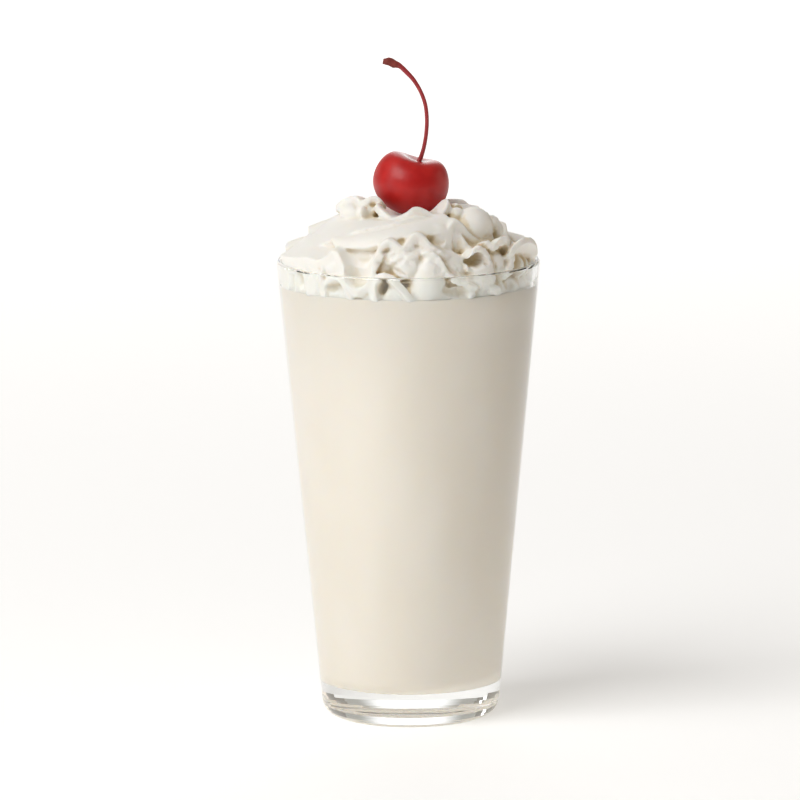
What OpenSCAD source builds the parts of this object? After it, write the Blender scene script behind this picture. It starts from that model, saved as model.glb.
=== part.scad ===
// A vanilla milkshake in a tapered mixing glass, with piped whipped cream and
// a cherry on its stem. Millimetres, +Z up, origin at the middle of the foot.

/* [Glass] */
// Outer diameter of the rim
rim_d = 90; // [80:1:100]
// Outer diameter that the wall would reach at the table
foot_d = 60; // [52:1:68]
// Height of the glass
glass_h = 158; // [130:1:190]
// Wall thickness at the rim
rim_wall = 2; // [1.4:0.1:3]
// Wall thickness where it meets the base
base_wall = 3; // [2:0.1:4]
// Thickness of the solid base
base_t = 12; // [6:0.5:20]
// Radius of the rounded heel outside
heel_r = 6; // [2:0.5:8]
// Radius of the corner between wall and base inside
well_r = 5; // [2:0.5:8]
// Depth of the shallow hollow under the foot
punt_h = 0.8; // [0.2:0.1:2]
// Width of the flat ring that the glass stands on
foot_ring_w = 4; // [2:0.5:8]

/* [Milkshake] */
// Free height from the level of the shake to the rim
shake_below_rim = 8; // [4:0.5:16]

/* [Whipped cream] */
// Height of the cream from the shake to its highest lip
cream_h = 31; // [24:0.5:40]
// How much lower the lip is in front of the cherry than behind it
lip_drop = 5; // [0:0.5:6]
// How far the lip reaches out past the cherry
lip_w = 1.5; // [1:0.5:4]
// Gap between the outermost cream and the line of the rim
rim_gap = 1.5; // [0.5:0.1:4]
// Rise of the piped rope in one turn
rope_pitch = 10; // [8:0.5:13]
// How far each turn lies inside the one below
rope_step = 10.75; // [8:0.25:12]
// Height above the shake at which the second turn starts, on the +X side
rope_start = 7; // [5:0.5:12]
// Depth of the crease between two turns
rope_crease = 2; // [0:0.2:4]
// Number of ruffles in a turn
ruffles = 15; // [9:1:21]
// Depth of a ruffle
ruffle_depth = 2.6; // [0.5:0.1:3.5]

/* [Cherry] */
// Width of the cherry
cherry_d = 26; // [20:0.5:29]
// Height of the cherry's body without its dimple
cherry_h = 21.6; // [17:0.2:25]
// How deep the cherry sits below the lip behind it
cherry_sink = 7.8; // [7:0.2:10]
// Offset of the cherry from the glass's axis
cherry_x = 1; // [-3:0.5:3]
// Lean of the cherry towards +X, in degrees
cherry_tilt = 13; // [0:1:25]
// Depth of the dimple at the stem
dimple_h = 3; // [1:0.2:5]
// Half width of the dimple, in degrees from its axis
dimple_w = 24; // [16:1:34]
// Height of the two shoulders beside the dimple
shoulder_h = 0.8; // [0:0.1:1.6]

/* [Stem] */
// Height of the stem above the cherry's dimple
stem_h = 33; // [20:0.5:45]
// How far the stem bows out to +X on its way up
stem_bow = 4; // [0:0.5:8]
// How far the stem's tip hangs over to -X
stem_reach = 7.5; // [2:0.5:12]
// Diameter of the stem
stem_d = 1.4; // [1:0.1:2.4]
// Diameter of the torn knob at the tip
knob_d = 2.7; // [1.6:0.1:4]
// Length of the knob
knob_l = 5.5; // [3:0.5:8]

/* [Hidden] */

clearance = 0.3; // between the cream and what it touches, and below the stem
fine = 96; // segments of a turned surface
arc_steps = 8; // segments of a small arc in a profile

tread = 0.55; // share of a turn's height before it steps in
turn_steps = 90; // columns of the cream around the axis
side_rows = 27; // rows of the cream from the shake to the lip
seat_rows = 6; // rows of the cream in the cherry's seat
cherry_cols = 40;
cherry_rows = 20;
stem_sides = 10;
stem_rings = 24;
knob_rings = 6;

rim_r = rim_d / 2;
foot_r = foot_d / 2;
rim_z = glass_h - rim_wall / 2; // where the rounding of the rim starts
shake_z = glass_h - shake_below_rim;
cherry_r = cherry_d / 2;
cherry_half_h = cherry_h / 2;
cherry_z = shake_z + cream_h - cherry_sink + cherry_half_h;
cherry_at = [cherry_x, 0, cherry_z];
lip_r = cherry_r + lip_w;

function clamp(x, low, high) = min(max(x, low), high);
function smooth(x) = let (c = clamp(x, 0, 1)) c * c * (3 - 2 * c);
function mix(a, b, t) = a + (b - a) * t;
function arc(centre, r, from, to) =
    [for (i = [0 : arc_steps])
        let (a = mix(from, to, i / arc_steps))
        centre + r * [cos(a), sin(a)]];

// Radius of the glass outside and inside at height z.
function outer_r(z) = mix(foot_r, rim_r, z / rim_z);
function inner_r(z) = outer_r(z) - mix(base_wall, rim_wall, (z - base_t) / (rim_z - base_t));
outer_lean = atan((rim_r - foot_r) / rim_z);
inner_lean = atan((inner_r(rim_z) - inner_r(base_t)) / (rim_z - base_t));

// ---------------------------------------------------------------- glass

// How far a fillet of radius r reaches from a corner of the leaning wall.
function fillet_reach(r, lean) = r / tan((90 + lean) / 2);

// The corner of the well in half section, from its floor to its wall.
well_corner = arc(
    [inner_r(base_t) - fillet_reach(well_r, inner_lean), base_t + well_r],
    well_r, -90, -inner_lean);

function reversed(list) = [for (i = [len(list) - 1 : -1 : 0]) list[i]];

function glass_profile() =
    let (
        heel_x = foot_r - fillet_reach(heel_r, outer_lean),
        ring_in = heel_x - foot_ring_w)
    concat(
        [for (i = [0 : arc_steps])
            let (share = i / arc_steps)
            [ring_in * share, punt_h * (1 - pow(share, 2))]],
        arc([heel_x, heel_r], heel_r, -90, -outer_lean),
        arc([rim_r - rim_wall / 2, rim_z], rim_wall / 2, 0, 180),
        reversed(well_corner),
        [[0, base_t]]);

module glass() {
    color([0.86, 0.93, 0.92, 0.35])
    rotate_extrude($fn = fine) polygon(glass_profile());
}

// ---------------------------------------------------------------- milkshake

module milkshake() {
    color([0.93, 0.88, 0.78])
    rotate_extrude($fn = fine)
        polygon(concat([[0, base_t]], well_corner, [[inner_r(shake_z), shake_z], [0, shake_z]]));
}

// ---------------------------------------------------------------- cherry

// Turns a point about Y, which leans the cherry's axis towards +X.
function lean(p, a) = [p.x * cos(a) + p.z * sin(a), p.y, -p.x * sin(a) + p.z * cos(a)];

function in_cherry(p) = cherry_at + lean(p, cherry_tilt);

// The skin at polar angle phi from the dimple. Below the middle it is a plain
// ellipsoid, which the seat in the cream follows.
function cherry_skin(phi, az) =
    let (
        dimple = dimple_h * exp(-pow(phi / dimple_w, 2)),
        shoulder = shoulder_h * (pow(cos(az), 2) - 0.5) * pow(sin(min(2 * phi, 180)), 2))
    in_cherry([
        cherry_r * sin(phi) * cos(az),
        cherry_r * sin(phi) * sin(az),
        cherry_half_h * cos(phi) - dimple + shoulder]);

// Closes rows of points, each a ring of the same length, into one solid. The
// first and the last row shrink to the points that cap them.
module lofted(rings, first, last) {
    n = len(rings[0]);
    rows = len(rings);
    points = concat([first], [for (ring = rings) each ring], [last]);
    at = function (row, col) 1 + row * n + (col % n);
    end = 1 + rows * n;
    polyhedron(
        points = points,
        faces = concat(
            [for (c = [0 : n - 1]) [0, at(0, c), at(0, c + 1)]],
            [for (r = [0 : rows - 2], c = [0 : n - 1])
                [at(r, c), at(r + 1, c), at(r, c + 1)]],
            [for (r = [0 : rows - 2], c = [0 : n - 1])
                [at(r, c + 1), at(r + 1, c), at(r + 1, c + 1)]],
            [for (c = [0 : n - 1]) [end, at(rows - 1, c + 1), at(rows - 1, c)]]),
        convexity = 10);
}

module cherry() {
    color([0.72, 0.06, 0.06])
    lofted(
        [for (r = [1 : cherry_rows - 1])
            [for (c = [0 : cherry_cols - 1])
                cherry_skin(180 * (1 - r / cherry_rows), 360 * c / cherry_cols)]],
        cherry_skin(180, 0),
        cherry_skin(0, 0));
}

// ---------------------------------------------------------------- whipped cream

// Height of the lip at angle az: lowest in front, at -Y.
function lip_z(az) = shake_z + cream_h - lip_drop * (1 - sin(az)) / 2;

// How much of a turn's rise and of its step inwards is done at angle az. Behind
// the cherry the rope steps in and climbs, and in front it only climbs gently.
function rise_done(az) = az < 180 ? 0.75 * az / 180 : mix(0.75, 1, az / 180 - 1);
function step_done(az) = smooth(az / 180);

// Place of a point in the rope: whole turns, and the share of the turn above.
function turns_at(az, z) = (z - shake_z - rope_start) / rope_pitch - rise_done(az);

// The ruffles slant along the rope, and each turn has them in another place.
function ruffle(az, z) =
    let (slant = 5 * (z - shake_z), wander = 9 * sin(2 * az + 40) + 6 * sin(3 * az))
    abs(sin(ruffles / 2 * (az + wander) + slant));

function cream_r(az, z) =
    let (
        in_glass = min(inner_r(z), inner_r(rim_z)) - clearance,
        outside = mix(in_glass, rim_r - rim_gap, smooth((z - glass_h - 0.5) / 2)),
        turn = floor(turns_at(az, z)),
        share = turns_at(az, z) - turn,
        steps = max(0, turn + step_done(az) + smooth((share - tread) / (1 - tread))),
        crease = rope_crease * (1 - sin(180 * share)) * smooth((z - glass_h) / 3))
    outside - rope_step * steps - crease - ruffle_depth * (1 - ruffle(az, z)) / (1 + 0.4 * steps);

// The seat: the cherry's lower skin with clearance, from the lip inwards.
function seat_point(az, share) =
    let (
        from = acos(clamp((cherry_z - lip_z(az) + 1) / cherry_half_h, 0, 0.96)),
        psi = from * share)
    in_cherry([
        (cherry_r + clearance) * sin(psi) * cos(az),
        (cherry_r + clearance) * sin(psi) * sin(az),
        -(cherry_half_h + clearance) * cos(psi)]);

module whipped_cream() {
    color([0.95, 0.94, 0.91])
    lofted(
        concat(
            [for (r = [0 : side_rows])
                [for (c = [0 : turn_steps - 1])
                    let (
                        az = 360 * c / turn_steps,
                        z = mix(shake_z, lip_z(az), r / side_rows),
                        radius = max(lip_r, cream_r(az, z)))
                    [radius * cos(az), radius * sin(az), z]]],
            [for (r = [seat_rows : -1 : 1])
                [for (c = [0 : turn_steps - 1])
                    seat_point(360 * c / turn_steps, r / seat_rows)]]),
        [0, 0, shake_z],
        seat_point(0, 0));
}

// ---------------------------------------------------------------- stem

root_way = lean([0, 0, 1], cherry_tilt);
stem_root = cherry_skin(0, 0) + clearance * root_way;
stem_tip = stem_root + [-stem_reach, 0, stem_h];

// A cubic curve from the dimple over the bow to the tip.
function stem_point(t) =
    let (
        low = stem_root + [stem_bow, 0, 0.41 * stem_h],
        high = stem_root + [0.7 * stem_bow, 0, 0.78 * stem_h])
    pow(1 - t, 3) * stem_root + 3 * t * pow(1 - t, 2) * low
        + 3 * t * t * (1 - t) * high + pow(t, 3) * stem_tip;

function stem_way(t) =
    let (step = 0.01, d = stem_point(min(t + step, 1)) - stem_point(max(t - step, 0)))
    d / norm(d);

// Thick at the root, thin in the middle and flared towards the knob.
function stem_radius(t) =
    stem_d / 2 * (1 + 0.3 * exp(-14 * t) + 0.5 * pow(t, 8));

// A ring of radius r around p, square to a direction in the XZ plane.
function ring_at(p, way, r) =
    [for (c = [0 : stem_sides - 1])
        let (a = 360 * c / stem_sides)
        p + r * cos(a) * [way.z, 0, -way.x] + r * sin(a) * [0, 1, 0]];

module cherry_stem() {
    knob_way = [-cos(20), 0, sin(20)];
    color([0.55, 0.08, 0.08])
    lofted(
        concat(
            [for (i = [0 : stem_rings])
                let (t = i / stem_rings)
                ring_at(stem_point(t), i == 0 ? root_way : stem_way(t), stem_radius(t))],
            [for (i = [1 : knob_rings])
                let (
                    s = i / knob_rings,
                    swell = sin(150 * s),
                    way = stem_way(1) * (1 - s) + knob_way * s)
                ring_at(stem_tip + knob_way * knob_l * s, way / norm(way),
                    mix(stem_radius(1) * (1 - 0.35 * s), knob_d / 2, swell * 0.9))]),
        stem_root,
        stem_tip + knob_way * (knob_l + 0.2));
}

glass();
milkshake();
whipped_cream();
cherry();
cherry_stem();
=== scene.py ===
"""A vanilla milkshake in a mixing glass, with piped cream and a cherry on top.

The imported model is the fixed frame. The glass keeps its own solid and gets a
finish; the drink, the cream, the cherry and its stem are modelled here in full
and stand for theirs. Lengths are in millimetres until a mesh is made.
"""
import logging
import math
from dataclasses import dataclass, field
from enum import Enum
from typing import ClassVar, Sequence, Union

import bmesh
import bpy
import numpy as np
from mathutils import Matrix, Vector, noise
from mathutils.bvhtree import BVHTree
from mathutils.kdtree import KDTree


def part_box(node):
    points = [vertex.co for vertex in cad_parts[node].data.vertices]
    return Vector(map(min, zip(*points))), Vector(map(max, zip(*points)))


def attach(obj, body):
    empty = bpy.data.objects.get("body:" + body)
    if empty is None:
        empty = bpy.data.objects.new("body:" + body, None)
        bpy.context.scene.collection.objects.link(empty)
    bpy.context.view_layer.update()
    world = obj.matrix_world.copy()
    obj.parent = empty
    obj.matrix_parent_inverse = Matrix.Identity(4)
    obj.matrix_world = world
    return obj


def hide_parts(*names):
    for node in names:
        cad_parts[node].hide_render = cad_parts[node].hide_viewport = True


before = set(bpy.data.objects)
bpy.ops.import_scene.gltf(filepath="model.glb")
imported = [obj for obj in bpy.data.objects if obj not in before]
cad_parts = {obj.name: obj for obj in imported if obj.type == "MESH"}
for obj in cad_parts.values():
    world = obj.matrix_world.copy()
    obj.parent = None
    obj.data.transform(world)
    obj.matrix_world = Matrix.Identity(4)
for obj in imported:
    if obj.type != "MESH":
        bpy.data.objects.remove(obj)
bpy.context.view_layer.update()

log = logging.getLogger("milkshake")
MM = 0.001
TINY = 1e-9
Number = Union["Wire", float]
Colour = tuple[float, float, float]
Place = tuple[float, float, float]


# ------------------------------------------------------------------ shaders


class Wire:
    """A socket of a material that Python expressions can be written on."""

    def __init__(self, shader: "Shader", socket: bpy.types.NodeSocket) -> None:
        """Keeps the socket and the shader that it belongs to."""
        self.shader = shader
        self.socket = socket

    def _math(self, operation: str, *values: Number) -> "Wire":
        """Adds one Math node and gives its result."""
        return self.shader.node("ShaderNodeMath", {"operation": operation}, dict(enumerate(values)))

    def __add__(self, other: Number) -> "Wire":
        """self + other"""
        return self._math("ADD", self, other)

    __radd__ = __add__

    def __sub__(self, other: Number) -> "Wire":
        """self - other"""
        return self._math("SUBTRACT", self, other)

    def __rsub__(self, other: Number) -> "Wire":
        """other - self"""
        return self._math("SUBTRACT", other, self)

    def __mul__(self, other: Number) -> "Wire":
        """self * other"""
        return self._math("MULTIPLY", self, other)

    __rmul__ = __mul__

    def above(self, low: float, high: float) -> "Wire":
        """0 below low, 1 above high and smooth between them.

        Args:
            low: Where the rise begins.
            high: Where it ends.

        Returns:
            The share.
        """
        return self.shader.node(
            "ShaderNodeMapRange", {"interpolation_type": "SMOOTHSTEP"},
            {"Value": self, "From Min": low, "From Max": high})


class Shader:
    """A material under construction, with one Principled surface."""

    def __init__(self, name: str, **sockets: float) -> None:
        """Starts a material.

        Args:
            name: The material's name.
            sockets: Plain values of the surface's sockets, with _ for a space.
        """
        self.material = bpy.data.materials.new(name)
        self.material.use_nodes = True
        self.tree = self.material.node_tree
        self.surface = self.tree.nodes["Principled BSDF"]
        self.output = self.tree.nodes["Material Output"]
        for socket, value in sockets.items():
            self.surface.inputs[socket.replace("_", " ")].default_value = value

    def node(self, kind: str, settings: dict[str, object], inputs: dict[int | str, object],
             output: int | str = 0) -> Wire:
        """Adds a node.

        Args:
            kind: The node's type.
            settings: Its properties, set before its sockets.
            inputs: Values or wires by socket name or number.
            output: The socket that the result is read from.

        Returns:
            A wire from that output.
        """
        made = self.tree.nodes.new(kind)
        for key, value in settings.items():
            setattr(made, key, value)
        for key, value in inputs.items():
            self._feed(made.inputs[key], value)
        return Wire(self, made.outputs[output])

    def _feed(self, socket: bpy.types.NodeSocket, value: object) -> None:
        """Links a wire to a socket, or sets the socket's own value.

        Args:
            socket: The socket.
            value: A wire, a number or a colour.
        """
        if isinstance(value, Wire):
            self.tree.links.new(value.socket, socket)
        else:
            socket.default_value = (*value, 1.0) if socket.type == "RGBA" else value

    def feed(self, socket: str, value: object) -> None:
        """Feeds one socket of the surface."""
        self._feed(self.surface.inputs[socket], value)

    def let_light_through(self, tint: Colour) -> None:
        """Lets the light of lamps and of lit cream pass straight through the surface.

        Args:
            tint: What the light is multiplied by.
        """
        lamp = self.node("ShaderNodeLightPath", {}, {}, "Is Shadow Ray")
        lit = self.node("ShaderNodeLightPath", {}, {}, "Is Diffuse Ray")
        straight = self.node("ShaderNodeMath", {"operation": "MAXIMUM"}, {0: lamp, 1: lit})
        clear = self.node("ShaderNodeBsdfTransparent", {}, {"Color": tint})
        mixed = self.node(
            "ShaderNodeMixShader", {}, {0: straight, 1: Wire(self, self.surface.outputs[0]), 2: clear})
        self.tree.links.new(mixed.socket, self.output.inputs["Surface"])

    def place(self, scale: Sequence[float] = (1.0, 1.0, 1.0)) -> Wire:
        """Gives the piece's own coordinates in metres, scaled."""
        own = self.node("ShaderNodeTexCoord", {}, {}, "Object")
        return self.node("ShaderNodeMapping", {}, {"Vector": own, "Scale": scale})

    def attribute(self, name: str) -> Wire:
        """Gives a value that the mesh carries."""
        return self.node("ShaderNodeAttribute", {"attribute_name": name}, {}, "Fac")

    def noise(self, size: float, detail: float = 2.0, scale: Sequence[float] = (1.0, 1.0, 1.0)) -> Wire:
        """Gives cloudy noise whose patches are about size millimetres.

        Args:
            size: Width of a patch.
            detail: How many finer layers it has.
            scale: Stretch along each axis.

        Returns:
            The noise, from 0 to 1.
        """
        return self.node(
            "ShaderNodeTexNoise", {},
            {"Vector": self.place(scale), "Scale": 1.0 / (size * MM), "Detail": detail})

    def pores(self, size: float) -> Wire:
        """Gives the distance to the nearest of cells about size millimetres wide."""
        return self.node(
            "ShaderNodeTexVoronoi", {}, {"Vector": self.place(), "Scale": 1.0 / (size * MM)})

    def blend(self, share: Number, first: object, second: object) -> Wire:
        """Mixes two colours."""
        return self.node(
            "ShaderNodeMix", {"data_type": "RGBA"}, {0: share, 6: first, 7: second}, 2)

    def bump(self, height: Number, depth: float, strength: float = 1.0) -> Wire:
        """Gives a normal for a relief of so many millimetres."""
        return self.node(
            "ShaderNodeBump", {}, {"Height": height, "Distance": depth * MM, "Strength": strength})


# ------------------------------------------------------------------ finishes


@dataclass(frozen=True)
class ClearGlass:
    """Thick soda glass with a faint cast and faint waves."""

    tint: Colour = (0.985, 0.995, 0.99)
    wave_tint: Colour = (0.98, 0.99, 0.985)
    shadow_tint: Colour = (0.97, 0.98, 0.975)
    ior: float = 1.5
    smudge_roughness: float = 0.01

    def material(self) -> bpy.types.Material:
        """Builds the material.

        Returns:
            The material.
        """
        shader = Shader("clear_glass", Transmission_Weight=1.0, IOR=self.ior)
        wave = shader.noise(18.0, 1.0)
        smudge = shader.noise(9.0, 3.0).above(0.55, 0.8)
        shader.feed("Base Color", shader.blend(wave.above(0.3, 0.7), self.tint, self.wave_tint))
        shader.feed("Roughness", smudge * self.smudge_roughness)
        shader.feed("Normal", shader.bump(wave, 0.02, 0.3))
        shader.let_light_through(self.shadow_tint)
        return shader.material


@dataclass(frozen=True)
class Shake:
    """Thick vanilla drink: a warm off-white with a soft surface."""

    body: Colour = (0.845, 0.78, 0.685)
    pale: Colour = (0.865, 0.805, 0.722)
    vanilla: Colour = (0.7, 0.6, 0.46)
    vanilla_share: float = 0.12
    smooth: float = 0.42

    def material(self) -> bpy.types.Material:
        """Builds the material.

        Returns:
            The material.
        """
        shader = Shader(
            "vanilla_shake", Subsurface_Weight=0.35, Subsurface_Scale=0.003, IOR=1.38)
        shader.surface.inputs["Subsurface Radius"].default_value = (1.0, 0.8, 0.55)
        cloud = shader.noise(22.0, 2.0, (1.0, 1.0, 0.5)).above(0.35, 0.7)
        fleck = 1 - shader.pores(3.2).above(0.03, 0.07)
        tone = shader.blend(cloud, self.body, self.pale)
        shader.feed("Base Color", shader.blend(fleck * self.vanilla_share, tone, self.vanilla))
        shader.feed("Roughness", self.smooth + 0.1 * cloud)
        return shader.material


@dataclass(frozen=True)
class WhippedCream:
    """Dairy cream: white where it is open, with pores, and with painted shade that makes it darker and
    warmer in its creases and dents.
    """

    open: Colour = (0.885, 0.865, 0.815)
    cloudy: Colour = (0.90, 0.885, 0.845)
    # painted shade: the darker, warmer colour put into creases and dents where the cream is hidden from the
    # room
    painted_crease_shade: Colour = (0.69, 0.58, 0.39)
    sheen: float = 0.35
    smooth: float = 0.38

    def material(self) -> bpy.types.Material:
        """Builds the material.

        Returns:
            The material.
        """
        shader = Shader(
            "whipped_cream", Subsurface_Weight=0.4, Subsurface_Scale=0.0022, IOR=1.4)
        shader.surface.inputs["Subsurface Radius"].default_value = (1.0, 0.8, 0.6)
        shader.surface.inputs["Specular IOR Level"].default_value = self.sheen
        hidden = shader.attribute("hidden")
        rough = shader.attribute("rough")
        cloud = shader.noise(6.0, 2.0).above(0.35, 0.7)
        tone = shader.blend(cloud * 0.5, self.open, self.cloudy)
        # painted shade: the colour turns darker and warmer where the skin is hidden from the room
        shader.feed("Base Color", shader.blend(hidden.above(0.1, 0.6), tone, self.painted_crease_shade))
        shader.feed("Roughness", self.smooth + 0.1 * cloud + 0.15 * rough)
        fine = shader.noise(0.9, 3.0)
        pit = shader.pores(0.8).above(0.05, 0.4)
        relief = fine * 0.3 + 0.3 * pit * rough
        shader.feed("Normal", shader.bump(relief, 0.25, 0.6))
        return shader.material


@dataclass(frozen=True)
class CherrySkin:
    """Candied cherry: deep red under a wet, glossy skin."""

    deep: Colour = (0.46, 0.006, 0.006)
    bright: Colour = (0.53, 0.010, 0.008)
    smooth: float = 0.4
    dry_coat: float = 0.06
    wet_coat: float = 0.9

    def material(self) -> bpy.types.Material:
        """Builds the material.

        Returns:
            The material.
        """
        shader = Shader(
            "cherry_skin", Subsurface_Weight=0.2, Subsurface_Scale=0.002, IOR=1.45,
            Coat_Roughness=0.07)
        shader.surface.inputs["Subsurface Radius"].default_value = (1.0, 0.12, 0.08)
        mottle = shader.noise(5.0, 3.0).above(0.35, 0.7)
        shader.feed("Base Color", shader.blend(mottle, self.deep, self.bright))
        shader.feed("Roughness", self.smooth + 0.08 * mottle)
        shader.feed("Coat Weight", self.dry_coat + self.wet_coat * shader.attribute("wet"))
        shader.feed("Normal", shader.bump(shader.noise(2.2, 2.0), 0.12, 0.15))
        return shader.material


@dataclass(frozen=True)
class StemSkin:
    """Cherry stem: dyed red, browner towards its torn end."""

    dyed: Colour = (0.34, 0.03, 0.035)
    torn: Colour = (0.20, 0.03, 0.022)
    fibre: Colour = (0.5, 0.09, 0.07)
    smooth: float = 0.38

    def material(self) -> bpy.types.Material:
        """Builds the material.

        Returns:
            The material.
        """
        shader = Shader("cherry_stem", Subsurface_Weight=0.1, Subsurface_Scale=0.0008, IOR=1.4)
        fibre = shader.noise(1.2, 3.0, (1.0, 1.0, 0.15))
        end = shader.attribute("torn")
        tone = shader.blend(end, self.dyed, self.torn)
        shader.feed("Base Color", shader.blend(fibre.above(0.45, 0.75) * 0.5, tone, self.fibre))
        shader.feed("Roughness", self.smooth + 0.25 * end)
        shader.feed("Normal", shader.bump(fibre, 0.1, 0.5))
        return shader.material


@dataclass(frozen=True)
class PaleFloor:
    """Matt white paper, a little brighter than its light so that it stays plain."""

    paper: Colour = (0.93, 0.93, 0.93)
    grain: Colour = (0.92, 0.92, 0.92)
    near: float = 0.28
    far: float = 0.72
    fade: tuple[float, float] = (0.0, 2.0)

    def material(self) -> bpy.types.Material:
        """Builds the material.

        Returns:
            The material.
        """
        shader = Shader("pale_floor", Roughness=0.9, Emission_Strength=1.0)
        grain = shader.noise(40.0, 2.0).above(0.3, 0.7)
        shader.feed("Base Color", shader.blend(grain * 0.3, self.paper, self.grain))
        depth = shader.node("ShaderNodeSeparateXYZ", {}, {"Vector": shader.place()}, "Y")
        glow = shader.blend(depth.above(*self.fade), (self.near,) * 3, (self.far,) * 3)
        shader.feed("Emission Color", glow)
        return shader.material


@dataclass(frozen=True)
class BrightScreen:
    """A white screen behind the glass, brightest in its middle."""

    middle: Colour = (1.05, 1.05, 1.05)
    side: Colour = (0.25, 0.245, 0.22)
    cloth: Colour = (0.3, 0.3, 0.3)
    dark_cloth: Colour = (0.2, 0.2, 0.2)
    fade: tuple[float, float] = (0.55, 1.7)

    def material(self) -> bpy.types.Material:
        """Builds the material.

        Returns:
            The material.
        """
        shader = Shader("bright_screen", Roughness=0.9, Emission_Strength=1.0)
        across = shader.node("ShaderNodeSeparateXYZ", {}, {"Vector": shader.place()}, "X")
        far = shader.node("ShaderNodeMath", {"operation": "ABSOLUTE"}, {0: across}).above(*self.fade)
        shader.feed("Base Color", shader.blend(far, self.cloth, self.dark_cloth))
        shader.feed("Emission Color", shader.blend(far, self.middle, self.side))
        return shader.material


# ------------------------------------------------------------------ modelling


def pick_nothing() -> None:
    """Leaves edit mode and deselects every object."""
    if bpy.context.object and bpy.context.object.mode != "OBJECT":
        bpy.ops.object.mode_set(mode="OBJECT")
    bpy.ops.object.select_all(action="DESELECT")


def pick(*objects: bpy.types.Object) -> None:
    """Selects these objects alone and makes the first one active."""
    pick_nothing()
    for item in objects:
        item.select_set(True)
    bpy.context.view_layer.objects.active = objects[0]


def points_of(piece: bpy.types.Object) -> np.ndarray:
    """Gives a mesh's points in metres, one row each.

    Args:
        piece: The mesh.

    Returns:
        Its points.
    """
    flat = np.empty(len(piece.data.vertices) * 3, dtype=np.float32)
    piece.data.vertices.foreach_get("co", flat)
    return flat.reshape(-1, 3).astype(float)


def move_points(piece: bpy.types.Object, points: np.ndarray) -> None:
    """Puts a mesh's points at these places, in metres."""
    piece.data.vertices.foreach_set("co", points.astype(np.float32).ravel())
    piece.data.update()


def apply_modifier(piece: bpy.types.Object, kind: str, **settings: object) -> None:
    """Adds a modifier to a piece and applies it.

    Args:
        piece: The piece.
        kind: The modifier's type.
        settings: Its properties.
    """
    pick(piece)
    modifier = piece.modifiers.new(kind.lower(), kind)
    for key, value in settings.items():
        setattr(modifier, key, value)
    bpy.ops.object.modifier_apply(modifier=modifier.name)


def carry(piece: bpy.types.Object, name: str, values: np.ndarray) -> None:
    """Stores one number for each point of a mesh."""
    layer = piece.data.attributes.new(name, "FLOAT", "POINT")
    layer.data.foreach_set("value", values.astype(np.float32))


def finish_piece(piece: bpy.types.Object, name: str, node: str, material: bpy.types.Material) -> None:
    """Names a piece, dresses it and lets it stand for its node.

    Args:
        piece: The piece.
        name: Its name.
        node: The node that it stands for.
        material: Its finish.
    """
    piece.name = name
    piece.data.name = name
    piece.data.materials.clear()
    piece.data.materials.append(material)
    pick(piece)
    bpy.ops.object.shade_smooth()
    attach(piece, "root")
    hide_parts(node)
    log.info("%s: %d faces", name, len(piece.data.polygons))


def smooth_step(values: np.ndarray, low: float, high: float) -> np.ndarray:
    """0 below low, 1 above high and smooth between them.

    Args:
        values: What is judged.
        low: Where the rise begins.
        high: Where it ends.

    Returns:
        The shares.
    """
    share = np.clip((values - low) / (high - low), 0.0, 1.0)
    return share * share * (3.0 - 2.0 * share)


def through(points: np.ndarray, count: int) -> np.ndarray:
    """Lays a smooth curve through points.

    Args:
        points: The points to pass, one row each.
        count: How many points the curve gets.

    Returns:
        The curve's points, evenly spread along its length.
    """
    padded = np.vstack([2 * points[0] - points[1], points, 2 * points[-1] - points[-2]])
    share = np.linspace(0.0, 1.0, 16, endpoint=False)[:, None]
    parts = []
    for a, b, c, d in zip(padded, padded[1:], padded[2:], padded[3:]):
        parts.append(0.5 * (
            2 * b + (c - a) * share + (2 * a - 5 * b + 4 * c - d) * share ** 2
            + (3 * b - a - 3 * c + d) * share ** 3))
    curve = np.vstack(parts + [points[-1:]])
    run = np.concatenate([[0.0], np.cumsum(np.linalg.norm(np.diff(curve, axis=0), axis=1))])
    wanted = np.linspace(0.0, run[-1], count)
    return np.stack([np.interp(wanted, run, curve[:, axis]) for axis in range(3)], axis=1)


def softened(values: np.ndarray, reach: float) -> np.ndarray:
    """Blurs rows of values along their order, keeping both ends in place.

    Args:
        values: One row for each place.
        reach: How far the blur goes, in rows.

    Returns:
        The blurred rows.
    """
    half = int(3 * reach) + 1
    kernel = np.exp(-0.5 * (np.arange(-half, half + 1) / reach) ** 2)
    kernel /= kernel.sum()
    padded = np.pad(values, ((half, half), (0, 0)), mode="reflect", reflect_type="odd")
    return np.stack([np.convolve(padded[:, i], kernel, "valid") for i in range(values.shape[1])], axis=1)


def turned(azimuth: np.ndarray, radius: np.ndarray, height: np.ndarray) -> np.ndarray:
    """Gives places in millimetres from an azimuth in degrees, a radius and a height."""
    angle = np.radians(azimuth)
    return np.stack([radius * np.cos(angle), radius * np.sin(angle), height], axis=-1)


def round_axis(points: np.ndarray) -> tuple[np.ndarray, np.ndarray]:
    """Gives points' azimuths in degrees and their distances from the glass's axis."""
    return np.degrees(np.arctan2(points[:, 1], points[:, 0])), np.hypot(points[:, 0], points[:, 1])


def set_radius(points: np.ndarray, wanted: np.ndarray) -> None:
    """Moves points straight towards or away from the glass's axis.

    Args:
        points: The points, which are changed.
        wanted: Their new distances from the axis.
    """
    radius = np.hypot(points[:, 0], points[:, 1])
    points[:, :2] *= (wanted / np.maximum(radius, TINY))[:, None]


def sheet_of(name: str, rows: np.ndarray) -> bpy.types.Object:
    """Makes a sheet from a primitive grid.

    Args:
        name: The object's name.
        rows: Points in millimetres, as an array of rows, columns and 3.

    Returns:
        The new object.
    """
    pick_nothing()
    across, along = rows.shape[1] - 1, rows.shape[0] - 1
    bpy.ops.mesh.primitive_grid_add(x_subdivisions=across, y_subdivisions=along)
    made = bpy.context.object
    made.name = name
    move_points(made, rows.reshape(-1, 3) * MM)
    return made


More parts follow.
